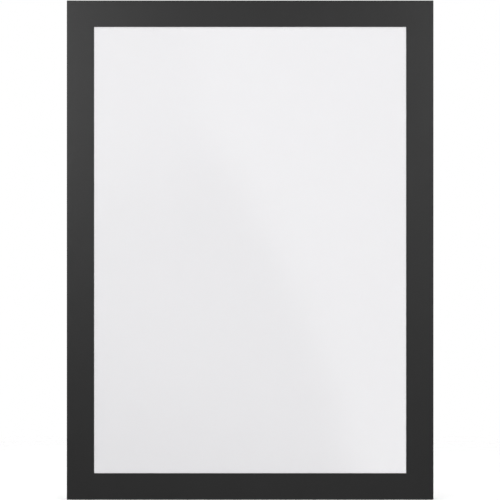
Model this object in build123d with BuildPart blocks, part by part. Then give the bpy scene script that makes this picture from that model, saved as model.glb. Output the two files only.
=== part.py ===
from build123d import *
import os

# Magnetic picture frame for one A4 card, in millimetres.
# A rear stack clings to a steel board, and a front leaf with the window swings open to the left.
# X runs to the viewer's right, Z up, and the viewer looks along +Y.
# The origin is the centre of the rear face, which lies on the board at Y = 0.

# The card in the window and how the frame holds it
card_width = 210.0
card_height = 297.0
card_thickness = 0.5
side_play = 1.5  # from the card's edge to the strips at its sides
end_play = 0.5  # from the card's edge to the strips above and below it
side_overlap = 5.0  # how far the border covers the card at its sides
end_overlap = 5.5  # the same at its top and bottom

# Strips and rings around the card
strip_width = 10.0  # keeper and front magnet strips
edge_inset = 1.0  # from the frame's edge to the strips and to the wall magnet
seam_gap = 0.3  # between strips that butt against each other
wall_ring_width = 14.0
tape_inset = 0.5  # tape stays this far inside what it holds
film_inset = 0.5  # the window film stays this far inside the back panel's outline

# Thickness of each layer
wall_magnet_thickness = 0.6
tape_thickness = 0.05
panel_thickness = 0.4
keeper_thickness = 0.15
front_magnet_thickness = 0.3
film_thickness = 0.1
border_thickness = 0.2

# Corners and edges
outer_corner_radius = 0.3
window_corner_radius = 0.2
border_edge_round = 0.05
lift_corner = 14.0  # leg of the clipped rear corner, where a fingertip lifts the leaf

# Film hinge along the left edge
web_radius = 0.2
web_clearance = 0.03  # between the web and the front hinge leaf that turns round it
hinge_gap = 0.05  # from the axis to both hinge leaves, and from the web to the panels

# Outline, measured from the centre
half_width = card_width / 2 + side_play + strip_width + edge_inset
half_height = card_height / 2 + end_play + strip_width + edge_inset
half_window_width = card_width / 2 - side_overlap
half_window_height = card_height / 2 - end_overlap

# Depth of each layer's rear face in front of the board
wall_tape_depth = wall_magnet_thickness
panel_depth = wall_tape_depth + tape_thickness
keeper_tape_depth = panel_depth + panel_thickness
keeper_depth = keeper_tape_depth + tape_thickness
parting_depth = keeper_depth + keeper_thickness  # the leaf meets the rear stack here
front_tape_depth = parting_depth + front_magnet_thickness
film_depth = front_tape_depth + tape_thickness
border_tape_depth = film_depth + film_thickness
border_depth = border_tape_depth + tape_thickness

# Hinge axis, upright through the centre of the web
axis_x = -half_width + web_radius
leaf_left = axis_x + hinge_gap
panel_left = axis_x + web_radius + hinge_gap

# Edges of the strips
strip_outer_x = half_width - edge_inset
strip_inner_x = strip_outer_x - strip_width
strip_outer_z = half_height - edge_inset
strip_inner_z = strip_outer_z - strip_width

# Left, right, bottom and top of the strip on each free side
free_sides = {
    "top": (-strip_inner_x + seam_gap, strip_outer_x, strip_inner_z, strip_outer_z),
    "right": (strip_inner_x, strip_outer_x, -strip_inner_z + seam_gap, strip_inner_z - seam_gap),
    "bottom": (-strip_inner_x + seam_gap, strip_outer_x, -strip_outer_z, -strip_inner_z),
}

# Left, right, bottom and top of whole layers
border_bounds = (-half_width, half_width, -half_height, half_height)
panel_bounds = (panel_left, half_width, -half_height, half_height)
window_bounds = (-half_window_width, half_window_width, -half_window_height, half_window_height)
hinge_leaf_bounds = (leaf_left, -strip_inner_x, -strip_outer_z, strip_outer_z)


def shrunk(bounds, inset):
    """The same bounds, drawn in by the inset on all four sides."""
    left, right, bottom, top = bounds
    return left + inset, right - inset, bottom + inset, top - inset


def rectangle(bounds, radius=0.0, mode=Mode.ADD):
    """A rectangle in the current sketch, with round corners where a radius is given."""
    left, right, bottom, top = bounds
    with Locations(((left + right) / 2, (bottom + top) / 2)):
        if radius > 0:
            RectangleRounded(right - left, top - bottom, radius, mode=mode)
        else:
            Rectangle(right - left, top - bottom, mode=mode)


def save(piece, label):
    """Labels a finished piece and writes it under that name."""
    piece.part.label = label
    export_step(piece.part, f"parts/{label}.step")


os.makedirs("parts", exist_ok=True)

# Cutter for the clipped lower right corner of everything in the rear stack
with BuildPart() as lift_clip:
    with BuildSketch(Plane.XZ):
        with BuildLine():
            Polyline(
                (half_width + lift_corner, -half_height),
                (half_width, -half_height - lift_corner),
                (half_width - lift_corner, -half_height),
                (half_width, -half_height + lift_corner),
                close=True,
            )
        make_face()
    extrude(amount=parting_depth)

# Cutters for the two hinge leaves, where each meets the round web
with BuildPart() as web_seat:
    with BuildSketch(Plane.XY.offset(-half_height)):
        with Locations((axis_x, -parting_depth)):
            Circle(web_radius)
    extrude(amount=2 * half_height)

with BuildPart() as web_clear:
    with BuildSketch(Plane.XY.offset(-half_height)):
        with Locations((axis_x, -parting_depth)):
            Circle(web_radius + web_clearance)
    extrude(amount=2 * half_height)

# Die-cut magnetic foil ring that clings to the board
wall_ring_outer = shrunk(panel_bounds, edge_inset)
wall_ring_inner = shrunk(wall_ring_outer, wall_ring_width)

with BuildPart() as wall_magnet:
    with BuildSketch(Plane.XZ):
        rectangle(wall_ring_outer, outer_corner_radius)
        rectangle(wall_ring_inner, outer_corner_radius, mode=Mode.SUBTRACT)
    extrude(amount=wall_magnet_thickness)
    add(lift_clip.part, mode=Mode.SUBTRACT)
save(wall_magnet, "wall_magnet")

# Four strips of double-sided tape between the wall magnet and the back panel
ring_left, ring_right, ring_bottom, ring_top = wall_ring_outer
bed_left, bed_right, bed_bottom, bed_top = wall_ring_inner
wall_tape_beds = {
    "top": (ring_left, ring_right, bed_top, ring_top),
    "right": (bed_right, ring_right, bed_bottom, bed_top),
    "bottom": (ring_left, ring_right, ring_bottom, bed_bottom),
    "left": (ring_left, bed_left, bed_bottom, bed_top),
}

for side, bed in wall_tape_beds.items():
    with BuildPart() as wall_tape:
        with BuildSketch(Plane.XZ.offset(wall_tape_depth)):
            rectangle(shrunk(bed, tape_inset))
        extrude(amount=tape_thickness)
        add(lift_clip.part, mode=Mode.SUBTRACT)
    save(wall_tape, f"wall_tape_{side}")

# Plastic sheet that carries everything behind the leaf
with BuildPart() as back_panel:
    with BuildSketch(Plane.XZ.offset(panel_depth)):
        rectangle(panel_bounds, outer_corner_radius)
    extrude(amount=panel_thickness)
    add(lift_clip.part, mode=Mode.SUBTRACT)
save(back_panel, "back_panel")

# Steel foil keepers on the three free sides, which the leaf's magnets grip, each on its own tape
for side, bounds in free_sides.items():
    with BuildPart() as keeper_tape:
        with BuildSketch(Plane.XZ.offset(keeper_tape_depth)):
            rectangle(shrunk(bounds, tape_inset))
        extrude(amount=tape_thickness)
        add(lift_clip.part, mode=Mode.SUBTRACT)
    save(keeper_tape, f"keeper_tape_{side}")

    with BuildPart() as keeper:
        with BuildSketch(Plane.XZ.offset(keeper_depth)):
            rectangle(bounds)
        extrude(amount=keeper_thickness)
        add(lift_clip.part, mode=Mode.SUBTRACT)
    save(keeper, f"keeper_{side}")

# Hinge: one flat leaf on each side of the parting plane and the round web between them
with BuildPart() as hinge_rear_leaf:
    with BuildSketch(Plane.XZ.offset(keeper_tape_depth)):
        rectangle(hinge_leaf_bounds)
    extrude(amount=tape_thickness + keeper_thickness)
    add(web_seat.part, mode=Mode.SUBTRACT)
save(hinge_rear_leaf, "hinge_rear_leaf")

with BuildPart() as hinge_web:
    with BuildSketch(Plane.XY.offset(-strip_outer_z)):
        with Locations((axis_x, -parting_depth)):
            Circle(web_radius)
    extrude(amount=2 * strip_outer_z)
save(hinge_web, "hinge_web")

with BuildPart() as hinge_front_leaf:
    with BuildSketch(Plane.XZ.offset(parting_depth)):
        rectangle(hinge_leaf_bounds)
    extrude(amount=front_magnet_thickness + tape_thickness)
    add(web_clear.part, mode=Mode.SUBTRACT)
save(hinge_front_leaf, "hinge_front_leaf")

# Blank card lying on the back panel, between the keepers and the hinge
with BuildPart() as insert_card:
    with BuildSketch(Plane.XZ.offset(keeper_tape_depth)):
        Rectangle(card_width, card_height)
    extrude(amount=card_thickness)
save(insert_card, "insert_card")

# Magnet strips behind the leaf's three free sides, each on its own tape
for side, bounds in free_sides.items():
    with BuildPart() as front_magnet:
        with BuildSketch(Plane.XZ.offset(parting_depth)):
            rectangle(bounds)
        extrude(amount=front_magnet_thickness)
    save(front_magnet, f"front_magnet_{side}")

    with BuildPart() as front_tape:
        with BuildSketch(Plane.XZ.offset(front_tape_depth)):
            rectangle(shrunk(bounds, tape_inset))
        extrude(amount=tape_thickness)
    save(front_tape, f"front_tape_{side}")

# Clear film across the whole leaf
with BuildPart() as window_film:
    with BuildSketch(Plane.XZ.offset(film_depth)):
        rectangle(shrunk(panel_bounds, film_inset), outer_corner_radius)
    extrude(amount=film_thickness)
save(window_film, "window_film")

# Adhesive ring between the film and the border
with BuildPart() as border_tape:
    with BuildSketch(Plane.XZ.offset(border_tape_depth)):
        rectangle(shrunk(panel_bounds, film_inset + tape_inset))
        rectangle(shrunk(window_bounds, -tape_inset), mode=Mode.SUBTRACT)
    extrude(amount=tape_thickness)
save(border_tape, "border_tape")

# Black border ring with softened front edges, which hides the hinge from the front
with BuildPart() as front_border:
    with BuildSketch(Plane.XZ.offset(border_depth)):
        rectangle(border_bounds, outer_corner_radius)
        rectangle(window_bounds, window_corner_radius, mode=Mode.SUBTRACT)
    extrude(amount=border_thickness)
    fillet(front_border.faces().sort_by(Axis.Y)[0].edges(), border_edge_round)
save(front_border, "front_border")
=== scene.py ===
import math

import bpy
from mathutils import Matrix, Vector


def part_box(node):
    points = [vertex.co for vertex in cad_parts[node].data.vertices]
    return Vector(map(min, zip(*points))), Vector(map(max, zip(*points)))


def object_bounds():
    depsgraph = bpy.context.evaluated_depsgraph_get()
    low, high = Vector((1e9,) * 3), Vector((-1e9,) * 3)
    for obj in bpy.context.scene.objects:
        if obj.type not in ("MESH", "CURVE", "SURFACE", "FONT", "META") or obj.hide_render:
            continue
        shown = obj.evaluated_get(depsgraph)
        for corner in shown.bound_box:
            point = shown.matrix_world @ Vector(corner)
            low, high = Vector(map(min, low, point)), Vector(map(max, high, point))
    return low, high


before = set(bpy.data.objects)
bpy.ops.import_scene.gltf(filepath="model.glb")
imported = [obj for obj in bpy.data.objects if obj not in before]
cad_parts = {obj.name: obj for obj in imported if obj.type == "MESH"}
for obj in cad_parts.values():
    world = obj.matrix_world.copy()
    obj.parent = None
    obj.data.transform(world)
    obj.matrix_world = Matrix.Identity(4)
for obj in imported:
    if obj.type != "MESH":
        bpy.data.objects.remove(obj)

# Looks of the magnetic picture frame, in metres, in the frame of the solids.
# X runs to the viewer's right, Z up, and the viewer looks along +Y.

MM = 0.001
WHITE = (1, 1, 1, 1)
BLACK = (0, 0, 0, 1)
WAVE_BANDS = 20 / math.tau  # bands to one unit of Blender's wave texture at scale 1
cad_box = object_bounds()
border_low, border_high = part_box("front_border")
front_y = border_low.y
centre_z = (border_low.z + border_high.z) / 2

# Camera: straight on, with a long lens
picture_height = 320.44 * MM
picture_x = -0.09 * MM  # the picture's middle, measured from the frame's
picture_z = 0.06 * MM
lens_mm = 200.0
sensor_mm = 36.0
camera_distance = picture_height * lens_mm / sensor_mm

# Share that each face of the film mirrors, straight on and at a glancing angle
film_mirror = (0.04, 1.0)

# Floor
floor_drop = 0.5 * MM  # just under the frame
floor_radius = 650 * MM
floor_fade_start = 360 * MM

# Soft light from all round, and what comes on top of it from the front, the back and above
round_light = 0.2
front_light = 1.295
top_light = 1.15
light_focus = 4.0  # how closely each light keeps to its middle

# What the camera and glossy surfaces see round the frame
ground_white = 1.0

# Place, size and power in watts of each lamp
softboxes = {
    "left_softbox": ((-0.40, -0.9, 0.21), 0.3, 1.97),
    "right_softbox": ((0.40, -0.9, 0.21), 0.3, 1.16),
    "overhead_softbox": ((0, 0.1, 1.6), 1.0, 11.0),
}

# Wall behind the camera, seen only as a sheen in glossy surfaces
wall_distance = 2600 * MM
wall_reach = 4000 * MM
wall_level = 0.07

# Pale parts of the wall, in lengths of their mirror image on the film:
# each brightness goes from the first level to the second across its span
screen_lean = 0.505
screen_bend = 1.1  # per metre
screen_lean_limit = 48 * MM
screen_edge = (1 * MM, 29 * MM)
screen_span, screen_levels = (-150 * MM, -30 * MM), (1.6, 1.4)
low_glow_slope = 0.5
low_glow_span, low_glow_levels = (-205 * MM, -72 * MM), (0.17, 0.75)
high_glow_slope = -0.6
high_glow_span, high_glow_levels = (40 * MM, 140 * MM), (0.0, 0.4)
pale_side_end = (115 * MM, 180 * MM)
pale_top_end = (160 * MM, 225 * MM)


class Nodes:
    """The node tree of a material or a world, begun afresh."""

    def __init__(self, owner):
        owner.use_nodes = True
        self.tree = owner.node_tree
        self.tree.nodes.clear()

    def link(self, start, end):
        """Links an output to an input."""
        self.tree.links.new(start, end)

    def feed(self, socket, value):
        """Gives a socket a plain value, or links another socket to it."""
        if isinstance(value, bpy.types.NodeSocket):
            self.link(value, socket)
        else:
            socket.default_value = value

    def math(self, operation, *values):
        """One step of arithmetic on sockets or numbers."""
        node = self.tree.nodes.new("ShaderNodeMath")
        node.operation = operation
        for socket, value in zip(node.inputs, values):
            self.feed(socket, value)
        return node.outputs["Value"]

    def axes(self, vector):
        """The X, Y and Z of a vector."""
        node = self.tree.nodes.new("ShaderNodeSeparateXYZ")
        self.link(vector, node.inputs[0])
        return node.outputs


class Surface(Nodes):
    """A material of nodes that reads the object's own coordinates, in metres."""

    def __init__(self, name):
        self.material = bpy.data.materials.new(name)
        super().__init__(self.material)
        self.output = self.tree.nodes.new("ShaderNodeOutputMaterial")
        self.shader = self.tree.nodes.new("ShaderNodeBsdfPrincipled")
        self.link(self.shader.outputs["BSDF"], self.output.inputs["Surface"])
        self.place = self.tree.nodes.new("ShaderNodeTexCoord").outputs["Object"]

    def set(self, **values):
        """Sets the shader's own sockets, with underscores for the spaces in their names."""
        for name, value in values.items():
            self.feed(self.shader.inputs[name.replace("_", " ")], value)

    def scaled(self, stretch):
        """The coordinates with each axis divided by its stretch."""
        node = self.tree.nodes.new("ShaderNodeVectorMath")
        node.operation = "DIVIDE"
        self.link(self.place, node.inputs[0])
        node.inputs[1].default_value = stretch
        return node.outputs["Vector"]

    def noise(self, size, detail=3.0, stretch=(1, 1, 1)):
        """Noise from 0 to 1 whose features are about the given size."""
        node = self.tree.nodes.new("ShaderNodeTexNoise")
        node.inputs["Scale"].default_value = 1 / size
        node.inputs["Detail"].default_value = detail
        self.link(self.scaled(stretch), node.inputs["Vector"])
        return node.outputs["Fac"]

    def stripes(self, pitch, direction):
        """Soft stripes from 0 to 1 across the given axis."""
        node = self.tree.nodes.new("ShaderNodeTexWave")
        node.bands_direction = direction
        node.inputs["Scale"].default_value = 1 / (pitch * WAVE_BANDS)
        node.inputs["Distortion"].default_value = 0
        self.link(self.place, node.inputs["Vector"])
        return node.outputs["Fac"]

    def between(self, amount, low, high):
        """From low at 0 to high at 1, where both may be numbers or sockets."""
        node = self.tree.nodes.new("ShaderNodeMapRange")
        self.link(amount, node.inputs["Value"])
        self.feed(node.inputs["To Min"], low)
        self.feed(node.inputs["To Max"], high)
        return node.outputs["Result"]

    def smooth_step(self, value, start, end):
        """0 up to start and 1 from end on, with a soft change between them."""
        node = self.tree.nodes.new("ShaderNodeMapRange")
        node.interpolation_type = "SMOOTHSTEP"
        node.inputs["From Min"].default_value = start
        node.inputs["From Max"].default_value = end
        self.link(value, node.inputs["Value"])
        return node.outputs["Result"]

    def colours(self, amount, first, second):
        """A blend from the first colour to the second."""
        node = self.tree.nodes.new("ShaderNodeMix")
        node.data_type = "RGBA"
        self.link(amount, node.inputs["Factor"])
        for name, colour in (("A", first), ("B", second)):
            socket = [s for s in node.inputs if s.name == name and s.type == "RGBA"][0]
            socket.default_value = (*colour, 1)
        return [s for s in node.outputs if s.type == "RGBA"][0]

    def bump(self, height, depth):
        """Raises the surface by up to the given depth where the height is 1."""
        node = self.tree.nodes.new("ShaderNodeBump")
        node.inputs["Strength"].default_value = 1.0
        node.inputs["Distance"].default_value = depth
        self.link(height, node.inputs["Height"])
        self.link(node.outputs["Normal"], self.shader.inputs["Normal"])

    def show_share(self, share):
        """Shows the given share of the surface, and what is behind it for the rest."""
        clear = self.tree.nodes.new("ShaderNodeBsdfTransparent")
        clear.inputs["Color"].default_value = WHITE
        blend = self.tree.nodes.new("ShaderNodeMixShader")
        self.link(share, blend.inputs["Fac"])
        self.link(clear.outputs["BSDF"], blend.inputs[1])
        self.link(self.shader.outputs["BSDF"], blend.inputs[2])
        self.link(blend.outputs["Shader"], self.output.inputs["Surface"])


def satin_border():
    """Black plastic with a fine satin grain."""
    surface = Surface("satin_border")
    cloud = surface.noise(22 * MM)
    surface.set(
        Base_Color=surface.colours(cloud, (0.0112, 0.0112, 0.0113), (0.0134, 0.0134, 0.0135)),
        Roughness=surface.between(surface.noise(7 * MM), 0.31, 0.37),
        Specular_IOR_Level=0.45,
    )
    surface.bump(surface.noise(0.45 * MM), 0.025 * MM)
    return surface.material


def clear_film():
    """Clear film: a white mirror for a small share, and see-through for the rest."""
    surface = Surface("clear_film")
    surface.set(
        Base_Color=WHITE,
        Metallic=1.0,
        Roughness=surface.between(surface.noise(30 * MM), 0.06, 0.08),
    )
    facing = surface.tree.nodes.new("ShaderNodeLayerWeight")
    facing.inputs["Blend"].default_value = 0.5
    rise = surface.math("POWER", facing.outputs["Facing"], 5.0)  # steep towards a glancing angle
    surface.show_share(surface.between(rise, *film_mirror))
    return surface.material


def card_paper():
    """White card with a faint fibre."""
    surface = Surface("card_paper")
    fibre = surface.noise(0.5 * MM, detail=4.0)
    surface.set(
        Base_Color=surface.colours(fibre, (0.834, 0.829, 0.845), (0.864, 0.859, 0.875)),
        Roughness=surface.between(surface.noise(4 * MM), 0.8, 0.9),
        Specular_IOR_Level=0.2,
    )
    surface.bump(fibre, 0.004 * MM)
    return surface.material


def magnet_foil(direction):
    """Dark magnetic foil with the faint lines of its poles."""
    surface = Surface("magnet_foil_" + direction.lower())
    cloud = surface.math("MULTIPLY", surface.noise(3 * MM), 0.65)
    shade = surface.math("MULTIPLY_ADD", surface.stripes(2.4 * MM, direction), 0.35, cloud)
    surface.set(
        Base_Color=surface.colours(shade, (0.022, 0.020, 0.019), (0.040, 0.037, 0.035)),
        Roughness=surface.between(surface.noise(9 * MM), 0.55, 0.72),
    )
    surface.bump(surface.noise(0.3 * MM), 0.006 * MM)
    return surface.material


def steel_foil(name, stretch):
    """Bright steel foil, brushed along the strip."""
    surface = Surface(name)
    brush = surface.noise(0.25 * MM, detail=4.0, stretch=stretch)
    surface.set(
        Base_Color=surface.colours(brush, (0.50, 0.50, 0.495), (0.62, 0.62, 0.61)),
        Metallic=1.0,
        Roughness=surface.between(brush, 0.26, 0.42),
    )
    surface.bump(brush, 0.002 * MM)
    return surface.material


def panel_plastic():
    """Pale grey plastic sheet with a fine pebble grain."""
    surface = Surface("panel_plastic")
    cloud = surface.noise(18 * MM)
    surface.set(
        Base_Color=surface.colours(cloud, (0.66, 0.66, 0.65), (0.71, 0.71, 0.70)),
        Roughness=surface.between(surface.noise(5 * MM), 0.45, 0.58),
    )
    surface.bump(surface.noise(0.7 * MM), 0.035 * MM)
    return surface.material


def hinge_plastic():
    """Soft black plastic with the fine cross ribs of its weld."""
    surface = Surface("hinge_plastic")
    cloud = surface.noise(8 * MM)
    surface.set(
        Base_Color=surface.colours(cloud, (0.012, 0.012, 0.0125), (0.018, 0.018, 0.0185)),
        Roughness=surface.between(surface.noise(3 * MM), 0.34, 0.44),
    )
    surface.bump(surface.stripes(1.2 * MM, "Z"), 0.03 * MM)
    return surface.material


def adhesive_tape():
    """Milky transfer tape."""
    surface = Surface("adhesive_tape")
    cloud = surface.noise(2 * MM)
    surface.set(
        Base_Color=surface.colours(cloud, (0.70, 0.69, 0.64), (0.78, 0.77, 0.72)),
        Roughness=surface.between(surface.noise(1 * MM), 0.3, 0.45),
    )
    return surface.material


def border_adhesive():
    """Black adhesive with a slightly uneven sheen."""
    surface = Surface("border_adhesive")
    cloud = surface.noise(3 * MM)
    surface.set(
        Base_Color=surface.colours(cloud, (0.012, 0.012, 0.012), (0.018, 0.018, 0.018)),
        Roughness=surface.between(surface.noise(1 * MM), 0.45, 0.6),
    )
    return surface.material


def dress(material, *names):
    """Gives CAD pieces their material."""
    for name in names:
        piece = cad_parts[name]
        piece.data.materials.clear()
        piece.data.materials.append(material)


def dress_all():
    """Gives every CAD piece its material."""
    dress(satin_border(), "front_border")
    dress(clear_film(), "window_film")
    dress(card_paper(), "insert_card")
    dress(magnet_foil("X"), "wall_magnet", "front_magnet_top", "front_magnet_bottom")
    dress(magnet_foil("Z"), "front_magnet_right")
    dress(steel_foil("steel_foil_level", (40, 1, 1)), "keeper_top", "keeper_bottom")
    dress(steel_foil("steel_foil_upright", (1, 1, 40)), "keeper_right")
    dress(panel_plastic(), "back_panel")
    dress(hinge_plastic(), "hinge_rear_leaf", "hinge_web", "hinge_front_leaf")
    dress(border_adhesive(), "border_tape")
    tapes = [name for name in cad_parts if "_tape_" in name]
    dress(adhesive_tape(), *tapes)


def add_sheet(name, corners, material):
    """A flat four-sided mesh."""
    mesh = bpy.data.meshes.new(name)
    mesh.from_pydata(corners, [], [(0, 1, 2, 3)])
    mesh.materials.append(material)
    made = bpy.data.objects.new(name, mesh)
    bpy.context.scene.collection.objects.link(made)
    return made


def add_floor():
    """A plain pale floor that fades out into the white round it."""
    surface = Surface("floor")
    surface.set(
        Base_Color=surface.colours(surface.noise(60 * MM), (0.95, 0.95, 0.95), (0.97, 0.97, 0.97)),
        Roughness=0.9,
        Specular_IOR_Level=0.1,
    )
    x, y, _ = surface.axes(surface.place)
    squares = surface.math("ADD", surface.math("POWER", x, 2), surface.math("POWER", y, 2))
    away = surface.math("SQRT", squares)
    fade = surface.smooth_step(away, floor_fade_start, floor_radius)
    surface.show_share(surface.between(fade, 1.0, 0.0))

    reach = floor_radius
    level = cad_box[0].z - floor_drop
    corners = [(-reach, -reach, level), (reach, -reach, level), (reach, reach, level), (-reach, reach, level)]
    floor = add_sheet("floor", corners, surface.material)
    floor.visible_diffuse = False  # it throws no light back onto the frame
    floor.visible_glossy = False
    floor.visible_shadow = False  # nor does it keep any light off it


def add_world():
    """White behind everything, and a soft light on the frame, mostly from front, back and above."""
    world = bpy.data.worlds.new("studio")
    bpy.context.scene.world = world
    nodes = Nodes(world)
    make = nodes.tree.nodes.new
    blend = make("ShaderNodeMixShader")
    nodes.link(blend.outputs["Shader"], make("ShaderNodeOutputWorld").inputs["Surface"])

    # The light by where it comes from
    direction = nodes.axes(make("ShaderNodeTexCoord").outputs["Generated"])
    ahead = nodes.math("POWER", nodes.math("ABSOLUTE", direction["Y"]), light_focus)
    above = nodes.math("POWER", nodes.math("MAXIMUM", direction["Z"], 0.0), light_focus)
    light = nodes.math("MULTIPLY_ADD", ahead, front_light, round_light)
    light = nodes.math("MULTIPLY_ADD", above, top_light, light)

    # That light for matt surfaces, and plain white for the camera and for glossy or clear ones
    for slot, strength in ((1, light), (2, ground_white)):
        background = make("ShaderNodeBackground")
        background.inputs["Color"].default_value = WHITE
        nodes.feed(background.inputs["Strength"], strength)
        nodes.link(background.outputs["Background"], blend.inputs[slot])
    path = make("ShaderNodeLightPath").outputs
    seen = nodes.math("MAXIMUM", path["Is Glossy Ray"], path["Is Transmission Ray"])
    seen = nodes.math("MAXIMUM", path["Is Camera Ray"], seen)
    nodes.link(seen, blend.inputs["Fac"])


def add_wall():
    """A dark wall with a pale slanting screen on it, which shows only as a soft sheen.

    Its coordinates are divided by how much larger it is than its mirror image on the film,
    so that its lengths are those of the sheen there.
    """
    surface = Surface("wall")
    enlarged = 1 + wall_distance / camera_distance
    x, _, z = [surface.math("DIVIDE", axis, enlarged) for axis in surface.axes(surface.place)]

    # The screen, to the right of a soft edge that leans, bends and ends upright
    bend = surface.math("MULTIPLY", surface.math("MULTIPLY", z, z), screen_bend)
    lean = surface.math("MULTIPLY_ADD", z, screen_lean, bend)
    lean = surface.math("MINIMUM", lean, screen_lean_limit)
    screen = surface.smooth_step(surface.math("ADD", x, lean), *screen_edge)
    screen_level = surface.between(surface.smooth_step(z, *screen_span), *screen_levels)

    # The glow beside it, which fades towards the lower left
    low = surface.math("MULTIPLY_ADD", x, low_glow_slope, z)
    low_glow = surface.between(surface.smooth_step(low, *low_glow_span), *low_glow_levels)
    high = surface.math("MULTIPLY_ADD", x, high_glow_slope, z)
    high_glow = surface.between(surface.smooth_step(high, *high_glow_span), *high_glow_levels)
    glow = surface.math("ADD", low_glow, high_glow)
    bright = surface.between(screen, glow, screen_level)

    # Both end a little outside the window
    side = surface.smooth_step(surface.math("ABSOLUTE", x), *pale_side_end)
    top = surface.smooth_step(surface.math("ABSOLUTE", z), *pale_top_end)
    outside = surface.math("MAXIMUM", side, top)
    level = surface.between(outside, bright, wall_level)
    surface.set(Base_Color=BLACK, Specular_IOR_Level=0.0, Emission_Color=WHITE, Emission_Strength=level)

    reach = wall_reach
    corners = [(-reach, 0, -reach), (reach, 0, -reach), (reach, 0, reach), (-reach, 0, reach)]
    wall = add_sheet("wall", corners, surface.material)
    wall.location = (0, front_y - wall_distance, centre_z)
    wall.visible_camera = False
    wall.visible_diffuse = False
    wall.visible_transmission = False
    wall.visible_shadow = False


def add_softbox(name, place, size, power):
    """A square area lamp that faces the frame."""
    lamp = bpy.data.lights.new(name, "AREA")
    lamp.size = size
    lamp.energy = power
    made = bpy.data.objects.new(name, lamp)
    made.location = place
    made.rotation_euler = (-made.location).to_track_quat("-Z", "Y").to_euler()
    bpy.context.scene.collection.objects.link(made)


def add_camera():
    """A camera that looks straight at the frame's front."""
    camera = bpy.data.cameras.new("camera")
    camera.lens = lens_mm
    camera.sensor_width = sensor_mm
    made = bpy.data.objects.new("camera", camera)
    made.location = (picture_x, front_y - camera_distance, centre_z + picture_z)
    made.rotation_euler = (math.radians(90), 0, 0)
    bpy.context.scene.collection.objects.link(made)
    bpy.context.scene.camera = made


dress_all()
add_floor()
add_world()
add_wall()
for name, settings in softboxes.items():
    add_softbox(name, *settings)
add_camera()
bpy.context.scene.view_settings.view_transform = "Standard"
